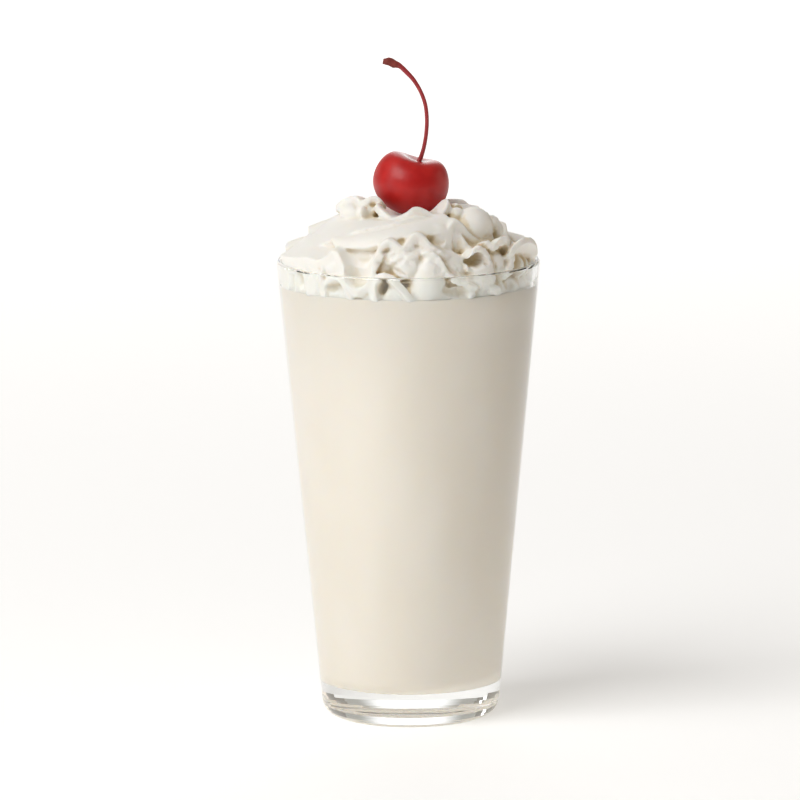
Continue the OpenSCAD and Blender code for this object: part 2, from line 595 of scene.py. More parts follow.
def close_sheet(piece: bpy.types.Object, gap: float) -> None:
    """Welds the edges of a sheet that meet and turns its faces outwards.

    Args:
        piece: The sheet.
        gap: Points closer than this, in millimetres, become one.
    """
    pick(piece)
    bpy.ops.object.mode_set(mode="EDIT")
    bpy.ops.mesh.select_all(action="SELECT")
    bpy.ops.mesh.remove_doubles(threshold=gap * MM)
    bpy.ops.mesh.normals_make_consistent(inside=False)
    bpy.ops.object.mode_set(mode="OBJECT")


# ------------------------------------------------------------------ the glass's inside


@dataclass
class Well:
    """The inside of the glass, read from the frame, in millimetres."""

    level: float = field(default_factory=lambda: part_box("milkshake")[1][2] / MM)
    floor: float = field(default_factory=lambda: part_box("milkshake")[0][2] / MM)
    level_r: float = field(default_factory=lambda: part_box("milkshake")[1][0] / MM)
    rim: float = field(default_factory=lambda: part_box("glass")[1][2] / MM)
    rim_r: float = field(default_factory=lambda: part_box("glass")[1][0] / MM)
    rim_wall: float = 2.0
    reach: float = 0.12

    def wall(self, height: np.ndarray) -> np.ndarray:
        """Gives the radius of the wall's inner face at a height above the table."""
        slope = (self.rim_r - self.rim_wall - self.level_r) / (self.rim - self.rim_wall / 2 - self.level)
        return self.level_r + slope * (height - self.level)


# ------------------------------------------------------------------ the drink


@dataclass
class Drink:
    """The shake, a turned body that reaches just into the glass's wall."""

    well: Well
    corner: float = 4.4
    sides: int = 192

    def build(self) -> bpy.types.Object:
        """Models the shake: a cylinder narrowed to the floor and rounded there.

        Returns:
            The shake.
        """
        well = self.well
        low_r = float(well.wall(np.array(well.floor)))
        pick_nothing()
        bpy.ops.mesh.primitive_cylinder_add(
            vertices=self.sides, radius=MM * well.level_r, depth=MM * (well.level - well.floor),
            location=(0, 0, MM * (well.level + well.floor) / 2))
        piece = bpy.context.object
        bpy.ops.object.transform_apply(location=True, rotation=True, scale=True)
        points = points_of(piece)
        bottom = points[:, 2] < MM * (well.level + well.floor) / 2
        points[bottom, :2] *= low_r / well.level_r
        move_points(piece, points)
        self._bevel_floor(piece)
        self._reach_into_wall(piece)
        return piece

    def _bevel_floor(self, piece: bpy.types.Object) -> None:
        """Rounds the corner between the wall and the floor.

        Args:
            piece: The shake.
        """
        pick(piece)
        bpy.ops.object.mode_set(mode="EDIT")
        bpy.ops.mesh.select_mode(type="EDGE")
        bpy.ops.mesh.select_all(action="DESELECT")
        mesh = bmesh.from_edit_mesh(piece.data)
        floor = MM * (self.well.floor + 0.01)
        for edge in mesh.edges:
            edge.select_set(all(v.co.z < floor for v in edge.verts))
        bmesh.update_edit_mesh(piece.data)
        bpy.ops.mesh.bevel(offset=MM * self.corner, segments=8, profile=0.5)
        bpy.ops.mesh.select_all(action="SELECT")
        bpy.ops.mesh.normals_make_consistent(inside=False)
        bpy.ops.object.mode_set(mode="OBJECT")

    def _reach_into_wall(self, piece: bpy.types.Object) -> None:
        """Lets the sides and the floor reach just into the glass.

        Args:
            piece: The shake.
        """
        points = points_of(piece)
        set_radius(points, round_axis(points)[1] + MM * self.well.reach)
        near_floor = points[:, 2] < MM * (self.well.floor + self.corner)
        points[near_floor, 2] -= MM * self.well.reach
        move_points(piece, points)


# ------------------------------------------------------------------ the cream


class Skin(Enum):
    """How the edge of a ruffle looks."""

    SMOOTH = 0
    BUBBLY = 1


@dataclass(frozen=True)
class Ruffle:
    """A ribbon of cream, from its wavy free edge inwards to its root.

    A place is an azimuth in degrees, with 270 in front, a radius and a height
    above the drink, both in millimetres.

    Attributes:
        edge: Places that the free edge passes.
        root: Radius and height of the root at both ends.
        calm: How far the edge's waves are evened out towards the root.
        bulge: How far the ribbon arches out.
        thick: Thickness of the ribbon.
        fade: Length over which both ends draw in.
        flare: How late the waves die out towards the root.
        skin: How the edge looks.
    """

    edge: tuple[Place, ...]
    root: tuple[tuple[float, float], tuple[float, float]]
    calm: float = 9.0
    bulge: float = 0.8
    thick: float = 2.7
    fade: float = 5.0
    flare: float = 1.9
    skin: Skin = Skin.SMOOTH
    step: ClassVar[float] = 0.7
    fewest: ClassVar[int] = 24
    depths: ClassVar[int] = 15
    drawn_in: ClassVar[float] = 0.75
    arch_out: ClassVar[float] = 0.6
    arch_up: ClassVar[float] = 0.8

    def rows(self, base: float) -> np.ndarray:
        """Gives the ribbon's points in millimetres.

        Args:
            base: Height of the drink above the table.

        Returns:
            Rows from the edge to the root, each of points along the ribbon.
        """
        places = np.array(self.edge)
        wire = turned(places[:, 0], places[:, 1], places[:, 2] + base)
        span = np.linalg.norm(np.diff(wire, axis=0), axis=1).sum()
        count = max(self.fewest, int(span / self.step))
        edge = through(wire, count)
        azimuth = np.unwrap(np.arctan2(edge[:, 1], edge[:, 0]))
        radius = np.hypot(edge[:, 0], edge[:, 1])
        share = np.linspace(0.0, 1.0, count)
        quiet = softened(azimuth[:, None], self.calm * count / 100)[:, 0]
        (r0, h0), (r1, h1) = self.root
        root_radius = r0 + (r1 - r0) * share
        root_height = base + h0 + (h1 - h0) * share
        end = np.minimum(share, 1 - share) * span / self.fade
        drawn_in = self.drawn_in * (1 - np.clip(end, 0, 1)) ** 2
        rows = []
        for depth in np.linspace(0.0, 1.0, self.depths):
            inward = drawn_in + (1 - drawn_in) * depth
            settled = inward ** self.flare
            arch = self.bulge * np.sin(math.pi * inward)
            rows.append(turned(
                np.degrees(azimuth + (quiet - azimuth) * settled),
                radius + (root_radius - radius) * inward + self.arch_out * arch,
                edge[:, 2] + (root_height - edge[:, 2]) * settled + self.arch_up * arch))
        return np.array(rows)


@dataclass(frozen=True)
class Curl:
    """A ribbon rolled into a tunnel that opens towards the glass.

    Attributes:
        edge: Places that the mouth's edge passes.
        heart: Azimuth and height that the tunnel narrows towards.
        depth: Length of the tunnel.
        shrink: Size of its inner end, as a share of its mouth.
        thick: Thickness of the ribbon.
        skin: How the edge looks.
    """

    edge: tuple[Place, ...]
    heart: tuple[float, float]
    depth: float = 7.0
    shrink: float = 0.65
    thick: float = 2.6
    skin: Skin = Skin.SMOOTH
    count: ClassVar[int] = 70
    depths: ClassVar[int] = 10
    mm_per_degree: ClassVar[float] = 0.73

    def rows(self, base: float) -> np.ndarray:
        """Gives the curl's points in millimetres, from its mouth inwards.

        Args:
            base: Height of the drink above the table.

        Returns:
            Rows from the mouth inwards, each of points along the ribbon.
        """
        places = np.array(self.edge)
        to_mm = (self.mm_per_degree, 1.0, 1.0)
        flat = through(places * to_mm, self.count) / to_mm
        around, high = self.heart
        rows = []
        for share in np.linspace(0.0, 1.0, self.depths):
            keep = 1 - (1 - self.shrink) * share
            azimuth = around + (flat[:, 0] - around) * keep
            height = high + (flat[:, 2] - high) * keep
            rows.append(turned(azimuth, flat[:, 1] - self.depth * share, height + base))
        return np.array(rows)


@dataclass(frozen=True)
class Pillow:
    """A soft lump of cream: a squashed ball at a place, leaning by an angle."""

    place: Place
    size: Place
    lean: float = 0.0
    skin: Skin = Skin.SMOOTH


@dataclass(frozen=True)
class Hollow:
    """A dent pressed towards the axis: its mouth, its half sizes and its lean."""

    place: Place
    size: Place
    lean: float = 0.0
    shaded_from: ClassVar[float] = 3.0
    shaded_to: ClassVar[float] = 6.4

    def press(self, azimuth: np.ndarray, radius: np.ndarray, height: np.ndarray) -> np.ndarray:
        """Presses points into the dent.

        Args:
            azimuth: Azimuths in degrees.
            radius: Radii in millimetres.
            height: Heights above the drink in millimetres.

        Returns:
            The points' new radii.
        """
        around, mouth, level = self.place
        wide, deep, tall = self.size
        across = mouth * np.radians((azimuth - around + 180.0) % 360.0 - 180.0)
        up = height - level
        lean = math.radians(self.lean)
        along = (across * math.cos(lean) + up * math.sin(lean)) / wide
        over = (up * math.cos(lean) - across * math.sin(lean)) / tall
        bowl = np.sqrt(np.clip(1.0 - along ** 2 - over ** 2, 0.0, 1.0))
        floor = np.where(bowl > 0, mouth - deep * bowl, np.inf)
        return np.minimum(radius, floor)

    def shade(self, azimuth: np.ndarray, radius: np.ndarray, height: np.ndarray) -> np.ndarray:
        """Tells how deep in the dent points lie, from 0 at its mouth to 1 well inside; the share sets the
        shade painted into the cream's colour there.

        Args:
            azimuth: Azimuths in degrees.
            radius: Radii in millimetres.
            height: Heights above the drink in millimetres.

        Returns:
            The points' shares.
        """
        open_dent = self.press(azimuth, np.full(len(radius), np.inf), height)
        depth = self.place[1] - radius
        share = smooth_step(depth, self.shaded_from, self.shaded_to)
        return np.where(np.isfinite(open_dent), share, 0.0)


def piped_turn(seed: int, span: tuple[float, float], waves: int, radius: float, height: float,
               swing: float, root: tuple[float, float]) -> list[Ruffle | Pillow]:
    """Makes a ruffle that winds up and down round part of the mound.

    Args:
        seed: Picks the waves' unevenness.
        span: First and last azimuth in degrees.
        waves: Number of whole waves.
        radius: Radius of the free edge.
        height: Mean height of the edge above the drink.
        swing: Height of a wave from its middle.
        root: Radius and height of the root.

    Returns:
        The ruffle and the lumps that fill its waves.
    """
    chance = np.random.default_rng(seed)
    start, end = span
    step = (end - start) / waves
    places = []
    lumps = []
    for wave in range(waves):
        middle = start + step * (wave + chance.uniform(0.38, 0.62))
        high = swing * chance.uniform(0.65, 1.25)
        low = swing * chance.uniform(0.7, 1.15)
        lean = step * chance.uniform(-0.08, 0.16)
        reach = chance.uniform(-1.4, 0.3)
        places += [
            (middle - 0.44 * step, radius, height - low),
            (middle - 0.27 * step, radius + 0.1, height - 0.45 * low),
            (middle - 0.19 * step + lean, radius + 0.5 * reach, height + 0.5 * high),
            (middle + lean, radius + reach, height + high),
            (middle + 0.19 * step + lean, radius + 0.5 * reach, height + 0.4 * high),
            (middle + 0.29 * step, radius, height - 0.5 * low),
        ]
        wide = 0.24 * step * math.radians(radius)
        lumps.append(Pillow(
            (middle + lean, radius - 4.6 + reach, height - 0.35 * swing), (wide, 3.4, 1.15 * swing)))
    return [Ruffle(tuple(places), (root, root), calm=14.0 / waves), *lumps]


def pressed_turn(seed: int, span: tuple[float, float], steps: int) -> list[Curl | Pillow]:
    """Makes curls and folds that are pressed against the glass.

    Args:
        seed: Picks their unevenness.
        span: First and last azimuth in degrees.
        steps: Number of curls and folds.

    Returns:
        The curls, each with what fills it, and the folds between them.
    """
    chance = np.random.default_rng(seed)
    start, end = span
    step = (end - start) / steps
    wall = 42.4
    forms = []
    for index in range(steps):
        middle = start + step * (index + chance.uniform(0.4, 0.6))
        half = step * chance.uniform(0.36, 0.5)
        top = chance.uniform(5.4, 8.2)
        lean = step * chance.uniform(-0.1, 0.2)
        if index % 2:
            forms.append(Pillow((middle, 39.0, 3.4), (0.78 * half, 4.4, 7.2), chance.uniform(-8, 8)))
            continue
        forms.append(Curl((
            (middle - half, wall, -1.4), (middle - 0.95 * half, wall, 0.5 * top),
            (middle - 0.45 * half + lean, wall, 0.93 * top), (middle + 0.3 * half + lean, wall, 0.98 * top),
            (middle + 0.9 * half, wall, 0.5 * top), (middle + 1.1 * half, wall, -1.4)),
            (middle, 0.35 * top), depth=4.6, shrink=0.5, thick=2.1))
        forms.append(Pillow((middle, 37.0, 0.5 * top), (0.9 * half, 3.4, 1.05 * top)))
    return forms


@dataclass
class Cream:
    """The piped cream: a mound with ribbons, curls and lumps grown into one.

    Attributes:
        well: The inside of the glass.
        grain: Width of the cells that merge the forms.
        most_faces: Triangles that the skin is thinned to.
        overlap: How far the cream reaches into the drink and above the rim before it spreads.
        seat: Height of the hollow under the cherry.
        over_rim: Height above the rim where the cream may reach its full width.
        inset: How far the cream stays inside the rim's outer edge there.
        reach: How far a point looks round for what hides it.
        rays: In how many directions it looks.
        dent_shade: How hidden the inside of a dent counts, and so how much shade is painted there.
        foam: Height of the coarse foam's relief.
        foam_grain: Width of its bubbles.
        foam_edge: Distances from the foamy forms over which it fades.
        foam_mark: Every so many points of a foamy form mark the foam.
        swell: Height of the slow unevenness.
        swell_width: Width of its waves.
        core: Heights and radii of the body under the forms.
    """

    well: Well
    grain: float = 0.5
    most_faces: int = 190000
    overlap: float = 0.3
    seat: float = 22.4
    over_rim: float = 1.8
    inset: float = 0.6
    reach: float = 9.0
    rays: int = 14
    dent_shade: float = 0.7
    foam: float = 0.4
    foam_grain: float = 1.3
    foam_edge: tuple[float, float] = (1.6, 3.2)
    foam_mark: int = 7
    swell: float = 0.15
    swell_width: float = 6.0
    core: tuple[tuple[float, float], ...] = (
        (-0.3, 36.6), (5.0, 36.0), (9.0, 35.0), (13.0, 33.2), (16.0, 31.2), (19.0, 28.2), (21.5, 24.6),
        (23.5, 20.4), (25.0, 15.5))

    def front(self) -> list[Ruffle | Curl | Pillow]:
        """Lists the ribbons of the lowest turn, from left to right in front.

        Returns:
            The forms.
        """
        return [
            Ruffle(  # the broad fold on the left, then down to the drink and up to two crests
                ((176, 43.4, 8.4), (186, 43.4, 8.8), (195, 43.4, 9.4), (208, 43.4, 10.4),
                 (217.6, 43.0, 11.2), (224, 42.8, 10.8), (229, 42.2, 12.2), (232.4, 41.2, 14.6),
                 (236.0, 41.6, 11.6), (238.9, 42.2, 8.0), (241, 42.4, 4.7), (244.2, 42.4, 2.5),
                 (247.3, 42.4, 2.2), (250.4, 42.4, 4.3), (251.9, 42.3, 8.1), (253.9, 42.0, 11.4),
                 (256.0, 41.4, 14.4), (257.2, 40.6, 17.0), (259.2, 40.0, 18.8),
                 (261.8, 39.8, 18.9), (264.4, 39.8, 17.4), (267.4, 39.8, 16.3), (269.6, 39.5, 17.6),
                 (271.6, 39.0, 20.0), (274.6, 38.7, 21.1), (277.4, 38.6, 19.9), (280, 38.9, 17.6),
                 (284, 39.2, 15.4), (289, 38.8, 13.4), (295, 38.0, 12.0)),
                ((32.0, 16.5), (32.0, 16.5)), calm=5.0, thick=2.9),
            Pillow((181.0, 40.0, 4.6), (9.0, 4.6, 6.2)),
            Pillow((196.0, 39.6, 4.6), (6.6, 4.6, 7.0)),
            Curl(((208.4, 42.6, -1.4), (208.0, 42.6, 4.5), (210.4, 42.6, 8.0), (213.6, 42.6, 8.8),
                  (215.8, 42.6, 7.0), (217.4, 42.6, 3.6), (219.0, 42.6, -1.4)), (212.6, 4.0),
                 depth=4.5, thick=1.7),
            Pillow((212.6, 38.8, 4.0), (3.8, 3.4, 6.4)),
            Pillow((204.0, 39.6, 8.0), (9.6, 4.0, 3.0)),
            Pillow((216.8, 41.0, 9.2), (2.6, 1.9, 1.8)),
            Pillow((221.4, 39.2, 4.4), (4.4, 4.0, 7.4)),
            Pillow((226.9, 41.6, 5.4), (0.9, 1.9, 5.8)),
            Pillow((231.4, 38.4, 9.6), (5.0, 3.8, 4.0)),
            Curl(((227.9, 42.4, -1.4), (228.7, 42.4, 3.4), (231.4, 42.4, 6.3), (235.4, 42.4, 7.4),
                  (238.6, 42.4, 6.4), (241.2, 42.4, 3.6), (244.0, 42.4, -1.4)), (233.4, 2.6),
                 depth=5.0, shrink=0.5, thick=2.2),
            Curl(((254.6, 42.4, -1.6), (253.5, 42.4, 2.4), (253.5, 42.4, 5.4), (255.3, 42.4, 7.6),
                  (258.4, 42.4, 8.4), (262.2, 42.4, 7.6), (266.0, 42.4, 5.2), (269.4, 42.4, 2.4),
                  (272.4, 42.4, -1.6)), (259.0, 3.2), depth=6.5, shrink=0.45, thick=2.6),
            Pillow((260.6, 36.8, 14.0), (3.6, 3.0, 4.2)),  # what closes the two crests
            Pillow((257.0, 36.4, 11.0), (3.2, 2.8, 4.2)),
            Pillow((274.6, 36.0, 16.6), (3.6, 2.8, 3.4)),
            Pillow((269.6, 36.8, 10.6), (5.6, 4.4, 5.4), 28.0),  # the two lobes in the middle
            Pillow((275.4, 37.4, 4.0), (3.4, 4.0, 6.4), 14.0),
            Pillow((280.0, 38.4, 5.6), (5.8, 4.3, 9.0), 8.0),
            Pillow((264.4, 38.8, 13.8), (3.2, 2.0, 1.5), -22.0, Skin.BUBBLY),
            Pillow((270.6, 38.8, 14.4), (3.4, 2.0, 1.5), 0.0, Skin.BUBBLY),
            Ruffle(
                ((274.6, 39.6, 13.2), (276.8, 40.2, 14.2), (279.2, 40.6, 15.2), (282.9, 40.8, 14.2),
                 (285.6, 41.4, 11.3), (287.4, 41.9, 8.6), (290.6, 42.2, 6.8), (296.6, 42.4, 4.6),
                 (301.8, 42.4, 2.8), (306, 42.4, 0.6)),
                ((34.0, 15.0), (35.0, 8.0)), calm=6.0, thick=2.5, skin=Skin.BUBBLY),
            Pillow((293.6, 36.0, 9.6), (6.6, 3.4, 5.6), 14.0),
            Pillow((308.8, 38.2, 7.4), (5.6, 4.2, 7.2), -6.0),
            Ruffle(
                ((300.8, 41.2, 6.0), (300.6, 41.2, 10.4), (303.0, 40.6, 14.2), (306.8, 40.0, 16.0),
                 (310.4, 39.8, 15.0), (313.2, 40.4, 11.6), (315.4, 41.2, 8.0)),
                ((35.0, 12.0), (35.0, 10.0)), calm=10.0, bulge=0.4, thick=2.1, skin=Skin.BUBBLY),
            Ruffle(
                ((311, 38.8, 15.4), (313.6, 39.2, 17.0), (317.4, 39.6, 15.6), (321.4, 39.8, 17.0),
                 (326.4, 40.0, 17.2), (330.6, 40.2, 14.8), (331.4, 40.8, 11.8), (328.6, 41.4, 9.2),
                 (325.8, 41.8, 6.8), (321.4, 42.0, 5.4), (317.6, 42.0, 6.4)),
                ((33.5, 14.0), (34.5, 9.0)), calm=6.0, bulge=0.4, thick=2.7, skin=Skin.BUBBLY),
            Pillow((321.0, 37.2, 9.0), (4.6, 3.0, 5.0)),
            Pillow((304.6, 36.6, 12.4), (3.4, 2.4, 3.6)),
            Pillow((256.6, 37.2, 8.6), (3.0, 2.6, 3.4)),
            Pillow((298.6, 41.2, 1.0), (2.8, 1.5, 1.7), 0.0, Skin.BUBBLY),
            Pillow((313.6, 41.4, 1.6), (3.0, 1.5, 2.0), 20.0, Skin.BUBBLY),
            Ruffle(
                ((325, 41.0, 9.0), (328.4, 42.0, 14.0), (333, 42.8, 16.0), (338, 43.3, 16.5),
                 (344, 43.8, 15.8), (351, 44.1, 13.6), (357, 44.1, 10.4), (360, 43.4, 6.8),
                 (357, 42.6, 3.0), (350, 42.5, 0.6), (341, 42.5, -1.0)),
                ((35.5, 8.5), (35.5, 6.0)), calm=26.0, bulge=1.2, thick=2.4, flare=1.2),
        ]

    def pleats(self) -> list[Ruffle]:
        """Lists narrow folds of the leaf at the right, pressed against the glass.

        Returns:
            The forms.
        """
        folds = []
        for azimuth, lean, top in ((335, 2, 13.0), (340, 5, 12.0), (344, 9, 9.0)):
            folds.append(Ruffle(
                ((azimuth, 42.0, 2.0), (azimuth + 0.3 * lean, 42.3, 0.35 * top),
                 (azimuth + 0.7 * lean, 42.6, 0.7 * top), (azimuth + lean, 43.0, top)),
                ((35.0, 4.0), (35.0, 9.0)), calm=12.0, bulge=0.3, thick=1.8))
        return folds

    def middle(self) -> list[Ruffle | Curl | Pillow]:
        """Lists the second turn in front: a long smooth sweep, a wave and a bulb.

        Returns:
            The forms.
        """
        return [
            Ruffle(
                ((224, 35.4, 16.8), (229, 36.8, 16.5), (235, 37.0, 16.0), (241, 37.0, 16.1),
                 (247.5, 37.0, 16.4), (253, 37.0, 17.2), (258, 36.8, 18.4), (264, 36.4, 19.6),
                 (270, 36.0, 20.2), (277, 35.4, 20.6), (284, 34.6, 20.6), (291, 33.6, 21.2),
                 (297, 32.6, 22.2)),
                ((34.0, 18.0), (26.5, 26.2)), calm=6.0, bulge=0.9, thick=2.4, fade=3.0, flare=1.0),
            Pillow((243.0, 33.2, 13.8), (8.0, 3.2, 3.0)),
            Pillow((288.4, 31.6, 20.4), (4.4, 3.2, 4.4), -14.0),
            Ruffle(
                ((279.5, 34.4, 20.6), (282.6, 34.8, 18.2), (286.1, 35.5, 16.4), (289.5, 35.8, 16.0),
                 (292.3, 35.2, 17.2), (293.8, 34.4, 20.4), (295.8, 33.8, 23.0), (298.6, 33.4, 24.0),
                 (302.0, 33.3, 23.0), (305.8, 33.4, 20.4), (309.8, 33.6, 18.2), (315.4, 34.0, 16.4),
                 (322.5, 34.2, 16.0), (329, 34.0, 17.2), (334, 33.4, 19.4)),
                ((25.0, 24.5), (25.0, 22.0)), calm=5.0, bulge=0.8, thick=2.7),
            Pillow((299.0, 31.6, 18.8), (3.2, 2.4, 4.2)),
            Pillow((296.6, 31.4, 15.6), (4.4, 3.2, 3.8)),
            Ruffle(
                ((297.0, 33.6, 21.0), (299.4, 34.2, 20.6), (301.4, 34.8, 18.0), (304.6, 35.4, 15.4),
                 (309.0, 35.8, 14.4), (314.0, 35.8, 14.2)),
                ((30.0, 19.0), (31.0, 13.5)), calm=8.0, bulge=0.6, thick=2.8),
            Pillow((322.4, 27.8, 21.0), (7.2, 6.4, 7.2), -12.0),
            Pillow((334.5, 31.0, 22.2), (3.2, 2.8, 2.6), 20.0, Skin.BUBBLY),
            Pillow((338.5, 32.0, 19.6), (2.6, 2.6, 3.2), 0.0, Skin.BUBBLY),
        ]

    def crown(self) -> list[Ruffle | Curl | Pillow]:
        """Lists the small folds that hold the cherry and the smooth flank at the left.

        Returns:
            The forms.
        """
        return [
            Ruffle(  # the flank, which ends along the sweep's upper edge
                ((176, 35.0, 12.6), (190, 36.0, 12.8), (202, 36.4, 13.4), (213, 36.2, 14.6),
                 (221, 35.8, 16.4), (227, 35.2, 17.8), (233, 34.2, 19.2), (239, 33.2, 20.6),
                 (246, 32.2, 21.6), (254, 31.2, 22.6), (262, 30.2, 23.6), (270, 29.2, 24.8),
                 (278, 28.4, 25.6), (286, 28.0, 24.8), (294, 28.0, 24.4)),
                ((20.0, 24.0), (20.0, 23.4)), calm=5.0, bulge=0.7, thick=2.6, fade=3.0, flare=1.0),
            Ruffle(  # the fold that runs down from the cherry, passes under it and rises at its right
                ((229, 18.6, 29.6), (236, 20.4, 28.4), (243, 22.2, 27.2), (251, 24.4, 25.8),
                 (257.6, 26.2, 24.6), (263, 27.2, 25.0), (270.5, 27.2, 26.6), (276, 26.4, 28.2),
                 (281.7, 26.4, 27.4), (288, 26.8, 25.8), (294.5, 27.0, 25.8), (301, 26.0, 27.6),
                 (306.4, 24.0, 29.2), (311, 22.0, 29.8), (315, 21.6, 27.8)),
                ((14.0, 23.0), (14.0, 24.5)), calm=5.0, bulge=0.3, thick=2.5),
            Ruffle(
                ((312, 23.4, 24.0), (315, 23.2, 27.0), (318.6, 22.8, 28.0), (324, 22.8, 26.6),
                 (332, 23.4, 24.0)),
                ((15.0, 24.5), (15.0, 25.0)), calm=8.0, bulge=0.4, thick=2.0),
            Ruffle(  # the lumps at the upper left
                ((184, 26.4, 22.6), (189, 25.4, 25.4), (195, 24.4, 27.4), (201, 23.0, 29.2),
                 (207, 21.4, 29.9), (212, 20.6, 29.6), (216, 20.6, 27.8), (220, 20.2, 28.8),
                 (225, 18.6, 30.2), (231, 17.6, 30.2), (237, 18.4, 28.2)),
                ((14.0, 26.0), (14.0, 26.5)), calm=7.0, bulge=0.4, thick=2.4),
            Pillow((228.6, 22.6, 26.2), (0.9, 2.2, 2.6), -12.0),
            Pillow((204.0, 21.4, 25.4), (5.6, 3.4, 3.4)),
            Pillow((311.0, 25.0, 25.0), (3.4, 2.8, 3.4)),
            Pillow((305.6, 37.6, 13.2), (3.2, 2.4, 3.0)),
            Pillow((221.0, 19.4, 25.4), (4.4, 3.0, 3.2)),
        ]

    def behind(self) -> list[Ruffle | Curl | Pillow]:
        """Lists the turns that go on round the sides and the back, and what lies behind the curls.

        Returns:
            The forms.
        """
        return [
            *(Pillow((azimuth, 37.9, 0.6), (5.2, 3.4, 4.4)) for azimuth in range(186, 352, 11)),
            *pressed_turn(21, (-12, 178), 14),
            *piped_turn(11, (370, 540), 6, 43.0, 8.6, 3.8, (33.0, 14.6)),
            *piped_turn(13, (348, 552), 7, 34.4, 14.6, 3.2, (24.5, 21.4)),
            *piped_turn(14, (338, 536), 5, 24.6, 22.2, 2.2, (14.0, 25.0)),
        ]

    def hollows(self) -> list[Hollow]:
        """Lists the dents in the curls, under the crests and between the lobes.

        Returns:
            The dents.
        """
        return [
            Hollow((212.5, 42.6, 4.4), (1.6, 2.6, 3.2)),
            Hollow((233.2, 42.4, 3.2), (2.8, 3.0, 2.0)),
            Hollow((258.0, 42.4, 4.2), (1.5, 7.6, 2.6), -14.0),
            Hollow((262.4, 42.4, 2.2), (5.6, 1.6, 2.4), -38.0),
            Hollow((259.8, 41.2, 16.6), (2.0, 2.8, 1.2), 24.0),
            Hollow((274.6, 40.4, 17.9), (2.2, 2.8, 1.2), 4.0),
            Hollow((245.8, 40.6, 9.6), (4.6, 3.4, 5.4)),
            Hollow((262.6, 42.4, 10.4), (6.4, 3.4, 1.3), -24.0),
            Hollow((273.6, 42.2, 9.4), (0.9, 1.4, 4.0), -24.0),
            Hollow((292.0, 42.4, 2.4), (5.2, 3.6, 2.6), -14.0),
            Hollow((309.6, 41.6, 12.0), (1.5, 2.4, 1.8), -20.0),
            Hollow((318.2, 41.6, 9.6), (0.9, 2.4, 2.6), 10.0),
            Hollow((325.6, 42.4, 3.0), (3.4, 3.0, 3.2)),
            Hollow((298.6, 35.0, 17.6), (1.9, 1.4, 3.4), -10.0),
            Hollow((304.4, 36.4, 12.2), (3.4, 1.6, 2.2), 20.0),
        ]

    def build(self) -> bpy.types.Object:
        """Models the cream as one skin.

        Returns:
            The cream.
        """
        parts = [self._core()]
        bubbly = []
        everything = self.front() + self.pleats() + self.middle() + self.crown() + self.behind()
        for form in everything:
            if isinstance(form, Pillow):
                made = self._pillow(form)
            else:
                made = sheet_of("ribbon", form.rows(self.well.level))
                apply_modifier(
                    made, "SOLIDIFY", thickness=form.thick * MM, offset=0.0, use_even_offset=False)
            if form.skin is Skin.BUBBLY:
                bubbly.append(points_of(made)[::self.foam_mark])
            parts.append(made)
        pick(*parts)
        bpy.ops.object.join()
        piece = bpy.context.object
        apply_modifier(piece, "REMESH", mode="VOXEL", voxel_size=self.grain * MM, adaptivity=0.0)
        piece = self._without_specks(piece)
        self._press_dents(piece)
        apply_modifier(piece, "SMOOTH", factor=0.5, iterations=2)
        self._keep_in_glass(piece)
        faces = len(piece.data.polygons) * 2
        log.info("cream before thinning: %d triangles", faces)
        if faces > self.most_faces:
            apply_modifier(piece, "DECIMATE", ratio=self.most_faces / faces)
        self._dress(piece, np.vstack(bubbly))
        return piece

    def _without_specks(self, piece: bpy.types.Object) -> bpy.types.Object:
        """Removes the small closed bubbles that the merging leaves inside the mound.

        Args:
            piece: The merged mound.

        Returns:
            Its largest part.
        """
        pick(piece)
        bpy.ops.object.mode_set(mode="EDIT")
        bpy.ops.mesh.select_all(action="SELECT")
        bpy.ops.mesh.separate(type="LOOSE")
        bpy.ops.object.mode_set(mode="OBJECT")
        parts = sorted(bpy.context.selected_objects, key=lambda part: len(part.data.vertices))
        for speck in parts[:-1]:
            bpy.data.objects.remove(speck)
        pick(parts[-1])
        return parts[-1]

    def _core(self) -> bpy.types.Object:
        """Models the body of the mound, hollowed at the top for the cherry.

        Returns:
            The body.
        """
        heights = np.array([h for h, _ in self.core])
        radii = np.array([r for _, r in self.core])
        middle = 0.01
        profile = [(middle, heights[0])]
        for height in np.linspace(heights[0], heights[-1], 40):
            profile.append((float(np.interp(height, heights, radii)), height))
        for share in np.linspace(1.0, 0.0, 8)[1:]:
            bowl = self.seat + (heights[-1] - self.seat) * share ** 2
            profile.append((max(radii[-1] * share, middle), bowl))
        azimuth = np.linspace(0.0, 360.0, 121)
        rows = [
            turned(azimuth, np.full_like(azimuth, radius), np.full_like(azimuth, self.well.level + height))
            for radius, height in profile]
        made = sheet_of("core", np.array(rows))
        close_sheet(made, 0.02)
        return made

    def _pillow(self, form: Pillow) -> bpy.types.Object:
        """Models one lump.

        Args:
            form: Its place and size.

        Returns:
            The lump.
        """
        azimuth, radius, height = form.place
        middle = turned(np.array(azimuth), np.array(radius), np.array(height + self.well.level)) * MM
        pick_nothing()
        bpy.ops.mesh.primitive_uv_sphere_add(segments=32, ring_count=18, radius=1.0)
        made = bpy.context.object
        wide, deep, tall = (MM * value for value in form.size)
        face = Matrix.Rotation(math.radians(azimuth - 270), 4, "Z")
        lean = Matrix.Rotation(math.radians(form.lean), 4, "Y")
        size = Matrix.Diagonal((wide, deep, tall, 1.0))
        made.data.transform(Matrix.Translation(middle) @ face @ lean @ size)
        return made

    def _press_dents(self, piece: bpy.types.Object) -> None:
        """Presses the dents into the mound.

        Args:
            piece: The mound.
        """
        points = points_of(piece) / MM
        azimuth, radius = round_axis(points)
        for hollow in self.hollows():
            radius = hollow.press(azimuth, radius, points[:, 2] - self.well.level)
        set_radius(points, radius)
        move_points(piece, points * MM)

